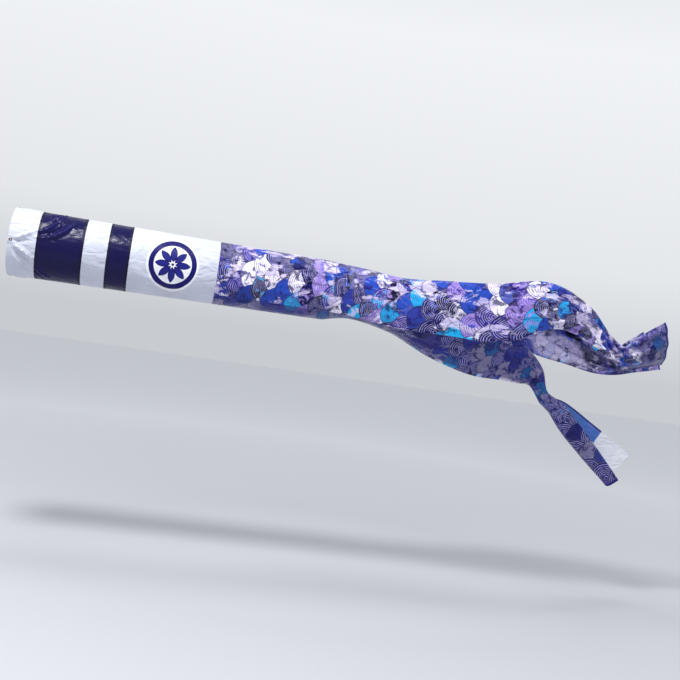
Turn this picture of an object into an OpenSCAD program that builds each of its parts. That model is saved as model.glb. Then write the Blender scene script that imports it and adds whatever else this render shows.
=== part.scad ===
// Wind streamer: a cloth tube on a wire hoop, ending in three long tails.
// The hoop's centre is the origin, +X runs downwind along the tube and +Z is up.
// Cloth is drawn thicker than it is woven, so that every sheet is a closed solid.

/* [Mouth] */
// Radius of the tube at the mouth
mouth_r = 360; // [300:5:420]
// Radius of the hoop's wire
wire_r = 2.5; // [1.5:0.5:3]
// Depth of the hem that holds the hoop
hem_depth = 50; // [44:1:60]
// Radius of an eyelet's hole
eyelet_r = 5; // [4:0.5:6]
// Width of the webbing tab under each eyelet
tab_width = 28; // [24:1:40]

/* [Tube] */
// Shrink of the radius per millimetre of length
taper = 0.0079; // [0:0.0005:0.012]
// Where the first navy band starts
navy_1_x = 284; // [260:2:300]
// Where the second white band starts
white_2_x = 758; // [700:2:800]
// Where the second navy band starts
navy_2_x = 1002; // [960:2:1040]
// Where the crest panel starts
panel_x = 1238; // [1200:2:1280]
// Where the printed cloth starts
print_x = 2168; // [2140:2:2200]
// Length of printed cloth that flexes when the rear of the tube lifts
flex_length = 280; // [240:10:320]
// Where the tube is slit into tails
slit_x = 3400; // [3380:5:3440]

/* [Crest] */
// Place of the crest along the tube
crest_x = 1690; // [1640:5:1760]
// Radius of the white patch under the crest
patch_r = 290; // [270:5:300]
// Outer radius of the crest's ring
ring_r = 252; // [220:2:265]
// Width of the crest's ring
ring_w = 46; // [20:2:60]
// Reach of a petal from the crest's centre
petal_reach = 186; // [140:2:190]
// Width of a petal
petal_w = 74; // [40:2:80]

/* [Cloth] */
// Thickness of the tube's cloth
cloth = 1.5; // [1:0.5:2]
// Thickness of a tail's cloth
tail_cloth = 2; // [1.5:0.5:2.5]
// Thickness of tapes, hems, patches and facings
trim = 1.2; // [1:0.1:1.5]
// Clearance between layers
ply_gap = 0.3; // [0.2:0.1:0.5]
// Width of the tape over each ring seam
tape_w = 26; // [16:1:36]

/* [Tails] */
// Clearance between two stretches of cloth that hinge on each other
hinge_gap = 12; // [10:1:20]
// Share of a tail that the white facing covers at its end
facing_share = 0.075; // [0.05:0.005:0.1]
// Share of a tail that the hem at its end covers
end_hem_share = 0.006; // [0.004:0.001:0.01]
// Share of half a tail's width that a side hem takes
side_hem_share = 0.05; // [0.03:0.01:0.08]

/* [Hidden] */
$fn = 96;
MM = 0.01;                       // reach of a cut past the face it opens
TAIL_COUNT = 3;
root_clear = 10;                 // clearance between the roots of two tails, side by side
slit_r = mouth_r - taper * slit_x;
root_w = 2 * PI * slit_r / TAIL_COUNT - root_clear;
root_turn = 360 / TAIL_COUNT;

fell_w = 12;                     // width of a felled seam

// Facing angles turn about the tube from +Y (0) over the top (90) to -Y (180).
near_face = 165;
far_face = 45;
low_face = -75;
SLIT_ANGLES = [-135, -15, 105];

// Hoop and hem
rod_x = 5.5;
rod_r = mouth_r - 5;
tunnel_r = wire_r + 1.5;
tunnel_skin = 5;
hem_ply = 3;
ferrule_length = 24;
ferrule_r = wire_r + 1;

// Tab and eyelet, measured outwards from the tube's axis
eyelet_x = 32;
tab_x = [13, 48];
tab_in = mouth_r + ply_gap;
tab_out = tab_in + 1.5;
barrel_r = eyelet_r + 1;
flange_r = eyelet_r + 5;
flange_in = tab_out + 0.5;
eyelet_out = flange_in + 1.2;
eyelet_in = mouth_r - 6.4;
roll_r = eyelet_r + 2.6;
roll_h = 1.2;
washer_in = eyelet_in + roll_h + 0.2;
washer_h = 1;
hole_r = barrel_r + 0.5;

// A tail's stations: middle of the cloth x, y, z, facing angle, width, turn across the width,
// place of the fold (-1 to 1 across the width) and softness of the fold.
NEAR_PATH = [
    [slit_x, slit_r * cos(near_face), slit_r * sin(near_face), near_face, root_w, root_turn, 0, 10],
    [3780, -320, 60, 164, 680, 105, 0, 8],
    [4250, -320, 10, 164, 660, 85, 0, 6],
    [4770, -300, 20, 165, 660, 50, 0, 6],
    [5380, -240, 50, 166, 690, 25, 0, 6],
    [5980, -180, 240, 165, 600, 60, 0, 3],
    [6440, -140, 150, 160, 480, 65, 0, 3],
    [6790, -100, -110, 150, 340, 60, 0, 3],
    [7060, -40, -240, 165, 290, 50, 0, 3],
    [7350, 60, -150, 185, 420, 60, 0, 3],
    [7710, 200, -10, 200, 580, 50, 0, 3]];
FAR_PATH = [
    [slit_x, slit_r * cos(far_face), slit_r * sin(far_face), far_face, root_w, root_turn, 0, 10],
    [3820, 260, 220, 55, 680, 100, 0, 8],
    [4430, 280, 170, 80, 660, 70, 0, 6],
    [5040, 240, 120, 110, 640, 50, 0, 6],
    [5530, 180, 40, 135, 620, 40, 0, 6],
    [6030, 120, -100, 155, 560, 30, 0, 6],
    [6420, 120, -200, 165, 450, 30, 0, 3],
    [6800, 140, -310, 165, 340, 40, 0, 3],
    [7080, 220, -320, 160, 280, 40, 0, 3],
    [7370, 340, -200, 160, 400, 40, 0, 3],
    [7690, 500, -80, 160, 520, 30, 0, 3]];
LOW_PATH = [
    [slit_x, slit_r * cos(low_face), slit_r * sin(low_face), low_face, root_w, root_turn, 0, 10],
    [3740, 60, -280, -90, 680, 95, 0, 6],
    [4260, 20, -330, -112, 660, 70, 0, 6],
    [4790, -40, -400, -138, 660, 50, 0, 6],
    [5270, -80, -440, -155, 660, 35, 0, 6],
    [5680, -60, -510, -160, 520, 40, 0, 3],
    [5960, -20, -640, -158, 360, 60, 0, 1],
    [6140, 60, -850, -138, 240, 150, 0, 0.6],
    [6370, 180, -1100, -112, 640, 166, -0.26, 0.3],
    [6820, 360, -1400, -90, 700, 168, -0.3, 0.2],
    [7360, 520, -1710, -72, 710, 168, -0.42, 0.2]];
near_split = 0.5;                // share of the path where a tail's own bend sits
far_split = 0.5;
low_split = 0.6;
split_gap = 0.002;               // half the clearance there, as a share of the path
root_share = 0.08;               // share of the path over which a tail's root is eased square
sweep_gap = 3;                   // clearance under a hem that is swept along a tail
HALF_STEPS = 6;                  // facets from the middle of a tail to its edge
RINGS = 26;                      // rings along one stretch of tail
TRIM_RINGS = 6;

// ---- helpers ----

function tube_r(x) = mouth_r - taper * x;
function unit(v) = v / norm(v);

// A ring of cloth along +X between x0 and x1, from "inner" to "outer" above the tube's surface.
module shell(x0, x1, inner, outer) {
    translate([x0, 0, 0]) rotate([0, 90, 0]) difference() {
        cylinder(h = x1 - x0, r1 = tube_r(x0) + outer, r2 = tube_r(x1) + outer);
        translate([0, 0, -MM])
            cylinder(h = x1 - x0 + 2 * MM, r1 = tube_r(x0) + inner + taper * MM,
                     r2 = tube_r(x1) + inner - taper * MM);
    }
}

// Points from the axis along a facing angle, at the eyelets' place.
module facing(angle) {
    translate([eyelet_x, 0, 0]) rotate([angle, 0, 0]) rotate([-90, 0, 0]) children();
}

// A disc's shadow on one side of the tube: side is -1 for the near side and 1 for the far side.
module through_side(side) {
    translate([crest_x, 0, 0]) rotate([-90 * side, 0, 0]) children();
}

// ---- a tail's swept cloth ----

function row(P, i) =
    i < 0 ? 2 * P[0] - P[1] :
    i > len(P) - 1 ? 2 * P[len(P) - 1] - P[len(P) - 2] : P[i];

// Smooth curve through the stations, u from 0 to 1.
function at(P, u) =
    let (n = len(P) - 1, s = min(max(u, 0), 1) * n, i = min(floor(s), n - 1), f = s - i,
         a = row(P, i - 1), b = row(P, i), c = row(P, i + 1), d = row(P, i + 2))
    0.5 * (2 * b + (c - a) * f + (2 * a - 5 * b + 4 * c - d) * f * f
           + (3 * b - a - 3 * c + d) * f * f * f);

function place(q) = [q[0], q[1], q[2]];
// The way the cloth runs at u. It leaves the tube straight along +X, so its root is square.
function travel(P, u) =
    let (way = unit(place(at(P, min(u + 0.001, 1)) - at(P, max(u - 0.001, 0)))),
         square = max(0, 1 - u / root_share))
    unit(way * (1 - square) + [square, 0, 0]);

function up_of(t) = unit(cross(t, [0, 1, 0]));

// How far the cloth has turned at v, from -1 at one edge to 1 at the other.
function turn_at(q, v) =
    let (d = v - q[6], s = max(q[7], 0.05))
    0.5 * q[5] * d * sqrt(1 + s * s) / sqrt(d * d + s * s);

function steps(list, n) = n == 0 ? [0, 0, 0] : steps(list, n - 1) + list[n - 1];

// The outward normal and the direction across the width, with the cloth turned by "turn".
function across(n, w, turn) = cos(turn) * w - sin(turn) * n;
function normal(n, w, turn) = cos(turn) * n + sin(turn) * w;

// A point of the cloth at share u and place v, lifted off its outer face.
function cloth_row(P, u, vs, lift) =
    let (q = at(P, u), t = travel(P, u), up = up_of(t), side = cross(up, t),
         n = side * cos(q[3]) + up * sin(q[3]), w = up * cos(q[3]) - side * sin(q[3]),
         dv = 1 / HALF_STEPS,
         right = [for (k = [0:HALF_STEPS - 1]) across(n, w, turn_at(q, (k + 0.5) * dv))],
         left = [for (k = [0:HALF_STEPS - 1]) -across(n, w, turn_at(q, -(k + 0.5) * dv))])
    [for (v = vs)
        let (a = abs(v) * HALF_STEPS, k = min(floor(a), HALF_STEPS - 1), f = a - k,
             side_list = v < 0 ? left : right)
        place(q) + (steps(side_list, k) + f * side_list[k]) * dv * q[4] / 2
            + lift * normal(n, w, turn_at(q, v))];

// A closed strip of cloth from u0 to u1 and v0 to v1, between two heights off the outer face.
module strip(P, u0, u1, v0, v1, low, high, rings, cuts) {
    vs = [for (j = [0:cuts]) v0 + (v1 - v0) * j / cuts];
    m = cuts + 1;
    ring = 2 * m;
    points = [for (i = [0:rings - 1])
        let (u = u0 + (u1 - u0) * i / (rings - 1),
             a = cloth_row(P, u, vs, high), b = cloth_row(P, u, vs, low))
        each concat(a, [for (j = [0:m - 1]) b[m - 1 - j]])];
    // Both faces of the cloth are cut along the same diagonals, so it keeps its thickness.
    walls = [for (i = [0:rings - 2], j = [0:ring - 1])
        let (a = i * ring + j, b = i * ring + (j + 1) % ring, c = b + ring, d = a + ring)
        each j < m ? [[a, c, b], [a, d, c]] : [[a, d, b], [b, d, c]]];
    last = (rings - 1) * ring;
    ends = [for (j = [0:cuts - 1])
        let (a = j, b = j + 1, c = ring - 2 - j, d = ring - 1 - j)
        each [[a, b, c], [a, c, d],
              [last + a, last + c, last + b], [last + a, last + d, last + c]]];
    polyhedron(points = points, faces = concat(walls, ends), convexity = 6);
}

// ---- mouth ----

module hoop_rod() {
    color("gainsboro") translate([rod_x, 0, 0]) rotate([0, 90, 0])
        rotate_extrude() translate([rod_r, 0]) circle(r = wire_r);
}

// A crimped sleeve over the hoop's two ends, at the bottom, inside the hem.
module hoop_ferrule() {
    color("silver") translate([rod_x, 0, -rod_r]) rotate([90, 0, 0])
        translate([0, 0, -ferrule_length / 2]) difference() {
            cylinder(h = ferrule_length, r = ferrule_r);
            translate([0, 0, -MM]) cylinder(h = ferrule_length + 2 * MM, r = wire_r + 0.45);
        }
}

// The cloth turned back over the hoop, with the tunnel that the wire runs in.
module mouth_hem() {
    color("white") difference() {
        rotate([0, 90, 0]) rotate_extrude() difference() {
            union() {
                translate([mouth_r - hem_ply, rod_x]) square([hem_ply, hem_depth - rod_x]);
                translate([rod_r, rod_x]) circle(r = tunnel_skin);
            }
            translate([rod_r, rod_x]) circle(r = tunnel_r);
        }
        for (angle = [0:90:270]) facing(angle) cylinder(h = mouth_r + MM, r = hole_r);
    }
}

module tie_tab(angle) {
    color("midnightblue") difference() {
        intersection() {
            shell(tab_x[0], tab_x[1], tab_in - mouth_r + taper * tab_x[1],
                  tab_out - mouth_r + taper * tab_x[0]);
            facing(angle) translate([-hem_depth, -tab_width / 2, mouth_r / 2])
                cube([2 * hem_depth, tab_width, mouth_r]);
        }
        facing(angle) cylinder(h = 2 * mouth_r, r = hole_r);
    }
}

module eyelet(angle) {
    color("goldenrod") facing(angle) difference() {
        union() {
            translate([0, 0, eyelet_in]) cylinder(h = eyelet_out - eyelet_in, r = barrel_r);
            translate([0, 0, flange_in]) cylinder(h = eyelet_out - flange_in, r = flange_r);
            translate([0, 0, eyelet_in]) cylinder(h = roll_h, r = roll_r);
        }
        translate([0, 0, eyelet_in - MM])
            cylinder(h = eyelet_out - eyelet_in + 2 * MM, r = eyelet_r);
    }
}

module eyelet_washers() {
    color("goldenrod") for (angle = [0:90:270]) facing(angle)
        translate([0, 0, washer_in]) difference() {
            cylinder(h = washer_h, r = flange_r);
            translate([0, 0, -MM]) cylinder(h = washer_h + 2 * MM, r = barrel_r + 0.2);
        }
}

// ---- tube ----

module band(x0, x1, shade) {
    color(shade) shell(x0, x1, -cloth, 0);
}

module seam_tape(x0, x1, shade) {
    color(shade) shell(x0, x1, ply_gap, ply_gap + trim);
}

// The felled seam along the bottom, on the inside, that closes the cloth into a tube.
module bottom_seam(x0, x1) {
    color("lavender") intersection() {
        shell(x0, x1, -cloth - ply_gap - trim, -cloth - ply_gap);
        translate([x0, -fell_w / 2, -2 * mouth_r]) cube([x1 - x0, fell_w, 2 * mouth_r]);
    }
}

module crest_patch(side) {
    color("white") intersection() {
        shell(crest_x - patch_r, crest_x + patch_r, ply_gap, ply_gap + 1);
        through_side(side) cylinder(h = mouth_r * 2, r = patch_r - 1);
    }
}

module crest_ring(side) {
    color("navy") intersection() {
        shell(crest_x - patch_r, crest_x + patch_r, 2 * ply_gap + 1, 2 * ply_gap + 2);
        through_side(side) difference() {
            cylinder(h = mouth_r * 2, r = ring_r);
            translate([0, 0, -MM]) cylinder(h = mouth_r * 2 + 2 * MM, r = ring_r - ring_w);
        }
    }
}

// Eight slender petals, each the lens where two discs cross.
module crest_petals(side) {
    petal_in = 22;
    half = (petal_reach - petal_in) / 2;
    lens_r = (half * half + petal_w * petal_w / 4) / petal_w;
    color("indigo") intersection() {
        shell(crest_x - patch_r, crest_x + patch_r, 2 * ply_gap + 1, 2 * ply_gap + 2);
        through_side(side) for (angle = [0:45:315]) rotate([0, 0, angle])
            translate([petal_in + half, 0, 0]) intersection() {
                translate([0, lens_r - petal_w / 2, 0]) cylinder(h = mouth_r * 2, r = lens_r);
                translate([0, petal_w / 2 - lens_r, 0]) cylinder(h = mouth_r * 2, r = lens_r);
            }
    }
}

// A bar-tacked patch that stops the slit from tearing up the tube.
module slit_patch(angle) {
    patch_l = 70;
    patch_w = 44;
    x1 = slit_x - hinge_gap;
    color("indigo") intersection() {
        shell(x1 - patch_l, x1, ply_gap, ply_gap + trim);
        rotate([angle, 0, 0]) translate([x1 - patch_l, 0, -patch_w / 2])
            cube([patch_l, 2 * mouth_r, patch_w]);
    }
}

// ---- tails ----

module tail_root(P, split, shade) {
    color(shade)
        strip(P, 0, split - split_gap, -1, 1, -tail_cloth, 0, RINGS, 2 * HALF_STEPS);
}

module tail_tip(P, split, shade) {
    color(shade)
        strip(P, split + split_gap, 1, -1, 1, -tail_cloth, 0, RINGS, 2 * HALF_STEPS);
}

// The rolled hems along a stretch's two long edges, on the reverse side.
module side_hems(P, u0, u1) {
    low = -tail_cloth - sweep_gap - trim;
    for (edge = [-1, 1])
        color("slateblue") strip(P, u0, u1, edge * (1 - side_hem_share / 2) - side_hem_share / 2,
                                 edge * (1 - side_hem_share / 2) + side_hem_share / 2,
                                 low, low + trim, RINGS, 1);
}

module end_facing(P) {
    low = -tail_cloth - sweep_gap - trim;
    reach = 1 - 1.5 * side_hem_share;
    color("white") strip(P, 1 - facing_share, 1 - end_hem_share, -reach, reach,
                         low, low + trim, TRIM_RINGS, 2 * HALF_STEPS);
}

module end_hem(P) {
    color("lightsteelblue") strip(P, 1 - end_hem_share, 1, -1, 1, ply_gap, ply_gap + trim,
                                  2, 2 * HALF_STEPS);
}

// ---- nodes ----

hoop_rod();
hoop_ferrule();
mouth_hem();
tie_tab(90);  // tie_tab_top
tie_tab(180);  // tie_tab_near
tie_tab(270);  // tie_tab_bottom
tie_tab(0);  // tie_tab_far
eyelet(90);  // eyelet_top
eyelet(180);  // eyelet_near
eyelet(270);  // eyelet_bottom
eyelet(0);  // eyelet_far
eyelet_washers();
band(hem_depth, navy_1_x, "white");  // white_band_1
band(navy_1_x, white_2_x, "navy");  // navy_band_1
band(white_2_x, navy_2_x, "white");  // white_band_2
band(navy_2_x, panel_x, "navy");  // navy_band_2
band(panel_x, print_x, "white");  // crest_panel
seam_tape(navy_1_x, navy_1_x + tape_w, "navy");  // seam_tape_1
seam_tape(white_2_x - tape_w, white_2_x, "navy");  // seam_tape_2
seam_tape(navy_2_x, navy_2_x + tape_w, "navy");  // seam_tape_3
seam_tape(panel_x - tape_w, panel_x, "navy");  // seam_tape_4
seam_tape(print_x - fell_w, print_x, "lavender");  // seam_tape_5
bottom_seam(navy_1_x, print_x);  // bottom_seam_front
bottom_seam(print_x + flex_length, slit_x - hinge_gap);  // bottom_seam_rear
crest_patch(-1);  // crest_patch_near
crest_ring(-1);  // crest_ring_near
crest_petals(-1);  // crest_petals_near
crest_patch(1);  // crest_patch_far
crest_ring(1);  // crest_ring_far
crest_petals(1);  // crest_petals_far
band(print_x, print_x + flex_length, "mediumpurple");  // print_sleeve_front
band(print_x + flex_length, slit_x - hinge_gap, "mediumpurple");  // print_sleeve
slit_patch(SLIT_ANGLES[0]);  // slit_patch_near
slit_patch(SLIT_ANGLES[1]);  // slit_patch_far
slit_patch(SLIT_ANGLES[2]);  // slit_patch_top
tail_root(NEAR_PATH, near_split, "mediumpurple");  // near_tail_root
tail_tip(NEAR_PATH, near_split, "plum");  // near_tail_tip
side_hems(NEAR_PATH, 0, near_split - split_gap);  // near_tail_root_hems
side_hems(NEAR_PATH, near_split + split_gap, 1);  // near_tail_tip_hems
end_facing(NEAR_PATH);  // near_tail_facing
end_hem(NEAR_PATH);  // near_tail_end_hem
tail_root(FAR_PATH, far_split, "cornflowerblue");  // far_tail_root
tail_tip(FAR_PATH, far_split, "lightskyblue");  // far_tail_tip
side_hems(FAR_PATH, 0, far_split - split_gap);  // far_tail_root_hems
side_hems(FAR_PATH, far_split + split_gap, 1);  // far_tail_tip_hems
end_facing(FAR_PATH);  // far_tail_facing
end_hem(FAR_PATH);  // far_tail_end_hem
tail_root(LOW_PATH, low_split, "royalblue");  // low_tail_root
tail_tip(LOW_PATH, low_split, "steelblue");  // low_tail_tip
side_hems(LOW_PATH, 0, low_split - split_gap);  // low_tail_root_hems
side_hems(LOW_PATH, low_split + split_gap, 1);  // low_tail_tip_hems
end_facing(LOW_PATH);  // low_tail_facing
end_hem(LOW_PATH);  // low_tail_end_hem
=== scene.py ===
# Wind streamer: a cloth tube on a wire hoop, with bands, a crest, a printed sleeve and three tails.
# Metres, in the part's own frame: the hoop's centre is the origin, +X runs downwind, +Z is up.
import math
import bpy
import numpy as np
from mathutils import Matrix, Vector


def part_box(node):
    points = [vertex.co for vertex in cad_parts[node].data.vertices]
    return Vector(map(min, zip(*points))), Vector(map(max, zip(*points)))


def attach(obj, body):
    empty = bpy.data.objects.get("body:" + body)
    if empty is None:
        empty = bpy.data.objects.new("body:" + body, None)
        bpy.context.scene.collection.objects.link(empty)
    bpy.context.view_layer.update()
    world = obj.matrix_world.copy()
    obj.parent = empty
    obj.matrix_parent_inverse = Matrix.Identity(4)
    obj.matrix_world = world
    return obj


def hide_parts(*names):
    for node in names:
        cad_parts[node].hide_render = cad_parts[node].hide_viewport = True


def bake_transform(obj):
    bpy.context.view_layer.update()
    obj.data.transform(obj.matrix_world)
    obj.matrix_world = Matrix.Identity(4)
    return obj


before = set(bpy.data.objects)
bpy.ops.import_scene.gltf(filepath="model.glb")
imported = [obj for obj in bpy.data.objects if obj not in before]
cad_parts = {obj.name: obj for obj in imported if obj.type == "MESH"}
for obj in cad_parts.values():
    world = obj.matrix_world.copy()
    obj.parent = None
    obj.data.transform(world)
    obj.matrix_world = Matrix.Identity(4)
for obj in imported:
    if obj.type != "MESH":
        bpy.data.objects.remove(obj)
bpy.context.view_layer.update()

# ---- sizes, from the frame where it has them ----

MOUTH_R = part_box("mouth_hem")[1].z
TAPER = 0.0079                  # shrink of the tube's radius per metre of length
HEM_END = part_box("white_band_1")[0].x
NAVY_1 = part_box("navy_band_1")[0].x
WHITE_2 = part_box("white_band_2")[0].x
NAVY_2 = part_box("navy_band_2")[0].x
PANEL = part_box("crest_panel")[0].x
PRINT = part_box("print_sleeve_front")[0].x
SLIT = 3.4                      # where the tube is slit into tails
TAIL_LENGTH = 4.6               # cut length of a tail
EYELET_X = 0.032
CREST_X = (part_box("crest_patch_near")[0].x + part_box("crest_patch_near")[1].x) / 2
TUBE_CLOTH = 0.0012
TAIL_CLOTH = 0.0014
TAPE_W = 0.026
TRIM = 0.0008                   # thickness of hems, facings, fells and the crest
TAPE = 0.0007                   # thickness of tapes and slit patches
GAP = 0.0001                    # how far tapes, hems and the middle of a thread stand off the cloth
SHARP = math.radians(40)        # edges that turn more than this stay sharp
SIDES = (("top", 90), ("near", 180), ("bottom", 270), ("far", 0))
SLITS = (("near", -135), ("far", -15), ("top", 105))

TAILS = ("low", "far", "near")  # in the order of growing facing angle
SLIT_ANGLE = -135.0             # facing angle of the slit where the low tail begins
THIRD = 120.0
COLUMNS = 24                    # columns of cloth across a tail before it is refined
CELL = 0.03                     # length of a cell of cloth before it is refined

SLIT_R = MOUTH_R - TAPER * SLIT
ROOT_W = math.radians(THIRD) * SLIT_R
FACE = {"near": 165.0, "far": 45.0, "low": -75.0}


def root_station(tail):
    a = math.radians(FACE[tail])
    return [SLIT, SLIT_R * math.cos(a), SLIT_R * math.sin(a), FACE[tail], ROOT_W, THIRD, 0, 10]


# Stations along a tail: middle of the cloth x, y, z, facing angle, width between its edges laid
# smooth, turn across the width, place of the fold (-1 to 1) and softness of the fold.
PATHS = {
    "near": [
        root_station("near"),
        [3.78, -.32, .06, 164, .68, 105, 0, 8],
        [4.25, -.32, .01, 164, .66, 85, 0, 6],
        [4.77, -.30, .02, 165, .66, 50, 0, 6],
        [5.38, -.24, .05, 166, .69, 25, 0, 6],
        [5.98, -.18, .24, 165, .60, 60, 0, 3],
        [6.44, -.14, .15, 160, .48, 65, 0, 3],
        [6.79, -.10, -.11, 150, .34, 60, 0, 3],
        [7.06, -.04, -.24, 165, .29, 50, 0, 3],
        [7.35, .06, -.15, 185, .42, 60, 0, 3],
        [7.71, .20, -.01, 200, .58, 50, 0, 3]],
    "far": [
        root_station("far"),
        [3.82, .26, .22, 55, .68, 100, 0, 8],
        [4.43, .28, .17, 80, .66, 70, 0, 6],
        [5.04, .24, .12, 110, .64, 50, 0, 6],
        [5.53, .18, .04, 135, .62, 40, 0, 6],
        [6.03, .12, -.10, 155, .56, 30, 0, 6],
        [6.42, .12, -.20, 165, .45, 30, 0, 3],
        [6.80, .14, -.31, 165, .34, 40, 0, 3],
        [7.08, .22, -.32, 160, .28, 40, 0, 3],
        [7.37, .34, -.20, 160, .40, 40, 0, 3],
        [7.69, .50, -.08, 160, .52, 30, 0, 3]],
    "low": [
        root_station("low"),
        [3.74, .06, -.28, -90, .68, 95, 0, 6],
        [4.26, .02, -.33, -112, .66, 70, 0, 6],
        [4.79, -.04, -.40, -138, .66, 50, 0, 6],
        [5.27, -.08, -.44, -155, .66, 35, 0, 6],
        [5.68, -.06, -.51, -160, .52, 40, 0, 3],
        [5.96, -.02, -.64, -158, .36, 60, 0, 1],
        [6.14, .06, -.85, -138, .24, 150, 0, .6],
        [6.37, .18, -1.10, -112, .64, 166, -.26, .3],
        [6.82, .36, -1.40, -90, .70, 168, -.3, .2],
        [7.36, .52, -1.71, -72, .71, 168, -.42, .2]]}
ROOT_SHARE = 0.08               # share of its path over which a tail's root is eased square
# Pleats of each tail: waves across it, their phase, and how much of the spare width they take up.
PLEATS = {"near": (3.0, 0.6, 0.5), "far": (2.5, 2.0, 0.55), "low": (2.0, 4.0, 0.15)}
NECK_W = (0.34, 0.60)           # a tail is fully pleated at the first width, and hardly at the second

# Creases pressed into the tube: points (distance along, facing angle), half-width and height.
CREASES = [
    ([(.03, 180), (.16, 170), (.30, 157)], .020, .016),
    ([(.03, 181), (.15, 179), (.28, 176)], .016, -.012),
    ([(.03, 184), (.15, 194), (.30, 209)], .020, .018),
    ([(.04, 192), (.15, 205), (.30, 222)], .018, -.016),
    ([(.03, 200), (.12, 214), (.26, 240)], .020, .015),
    ([(.02, 244), (.10, 236), (.20, 240)], .018, .012),
    ([(.03, 90), (.15, 96), (.32, 112)], .022, -.008),
    ([(.03, 92), (.15, 84), (.30, 70)], .020, .008),
    ([(.03, 0), (.16, 10), (.32, 24)], .020, .010),
    ([(.03, 358), (.15, 346), (.30, 330)], .022, -.010),
    ([(.03, 270), (.16, 280), (.30, 296)], .020, .009),
    ([(.29, 171), (.45, 165), (.56, 151), (.63, 131)], .022, .016),
    ([(.29, 166), (.42, 158), (.51, 144), (.57, 124)], .018, -.013),
    ([(.31, 158), (.40, 149), (.47, 133), (.52, 113)], .017, .013),
    ([(.34, 142), (.43, 130), (.49, 113), (.54, 100)], .016, .012),
    ([(.37, 124), (.46, 112), (.54, 98)], .017, -.010),
    ([(.29, 221), (.36, 232), (.45, 248)], .017, .013),
    ([(.29, 229), (.35, 242), (.41, 258)], .015, -.009),
    ([(.30, 30), (.42, 42), (.55, 64)], .022, .012),
    ([(.30, 320), (.44, 300), (.58, 290)], .022, .011),
    ([(2.20, 168), (2.55, 176), (2.90, 190)], .040, .009),
    ([(2.50, 128), (2.80, 146), (3.15, 156)], .040, -.009),
    ([(2.75, 196), (3.05, 204), (3.35, 214)], .035, .011),
    ([(2.95, 170), (3.15, 176), (3.38, 180)], .030, -.010),
    ([(3.05, 142), (3.22, 152), (3.39, 158)], .030, .011),
    ([(2.30, 20), (2.70, 34), (3.10, 40)], .045, .010),
    ([(2.60, 320), (2.95, 332), (3.30, 340)], .040, -.010),
    ([(1.30, 206), (1.60, 214), (1.95, 226)], .045, .005),
    ([(1.28, 40), (1.60, 30), (2.00, 16)], .045, .006)]

CRISP = 0.9                     # share of the creases' height pressed in once more on the refined cloth
CREASE_R = 0.35                 # radius of the tube that the creases' angles are measured on
# Folds of the tails: points (share of the path, place from edge to edge), half-width and height.
FOLDS = {
    "near": [
        ([(.50, .78), (.57, .58), (.66, .40)], .035, .026),
        ([(.51, .92), (.58, .84), (.67, .80)], .030, -.022),
        ([(.33, -.15), (.40, .15), (.48, .50)], .050, .020),
        ([(.22, .20), (.32, .30), (.42, .62)], .045, -.016),
        ([(.05, .60), (.14, .40), (.24, .10)], .045, .014),
        ([(.55, -.70), (.63, -.35), (.72, -.05)], .035, .020),
        ([(.60, -.30), (.68, .05), (.76, .30)], .030, -.018),
        ([(.72, .60), (.82, .20), (.95, .10)], .030, .016),
        ([(.74, -.50), (.85, -.55), (.97, -.45)], .030, -.014)],
    "far": [
        ([(.46, .00), (.54, .35), (.63, .70)], .035, .026),
        ([(.48, .40), (.55, .68), (.62, .90)], .030, -.022),
        ([(.44, -.40), (.54, -.15), (.66, .10)], .035, -.020),
        ([(.10, -.30), (.22, -.10), (.34, .20)], .050, .016),
        ([(.66, .40), (.76, .10), (.90, -.10)], .030, .018)],
    "low": [
        ([(.10, -.70), (.24, -.40), (.38, -.48)], .050, .018),
        ([(.22, .20), (.36, .05), (.48, .22)], .045, -.018),
        ([(.34, .60), (.46, .50), (.55, .20)], .040, .020),
        ([(.46, -.60), (.54, -.20), (.62, .20)], .030, .022),
        ([(.50, .10), (.56, .40), (.62, .60)], .030, -.020),
        ([(.74, -.70), (.84, -.75), (.94, -.60)], .025, .010),
        ([(.76, .20), (.86, .35), (.96, .30)], .035, .012)]}


# ---- shape of the cloth ----

def tube_r(x):
    return MOUTH_R - TAPER * x


def round_points(x, r, angle):
    """Points round the tube's axis, at angles in radians."""
    return np.stack([x, r * np.cos(angle), r * np.sin(angle)], -1)


def spline(stations, u):
    """Smooth curve through the stations at shares u of its length, one row for each."""
    p = np.asarray(stations, float)
    p = np.vstack([2 * p[0] - p[1], p, 2 * p[-1] - p[-2]])
    last = len(p) - 4
    s = np.clip(np.atleast_1d(u), 0, 1) * (last + 1)
    i = np.minimum(s.astype(int), last)
    f = (s - i)[:, None]
    a, b, c, d = p[i], p[i + 1], p[i + 2], p[i + 3]
    return 0.5 * (2 * b + (c - a) * f + (2 * a - 5 * b + 4 * c - d) * f ** 2
                  + (3 * b - a - 3 * c + d) * f ** 3)


def unit(v):
    return v / np.linalg.norm(v, axis=-1, keepdims=True)


def gather(ratio):
    """Swing of the pleats, in radians, that narrows cloth to that share of its flat width."""
    swings = np.linspace(0, 2.2, 90)
    turns = np.linspace(0, 2 * math.pi, 120, endpoint=False)
    shares = np.array([np.cos(s * np.sin(turns)).mean() for s in swings])
    return np.interp(-np.clip(ratio, shares[-1], 1), -shares, swings)


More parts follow.
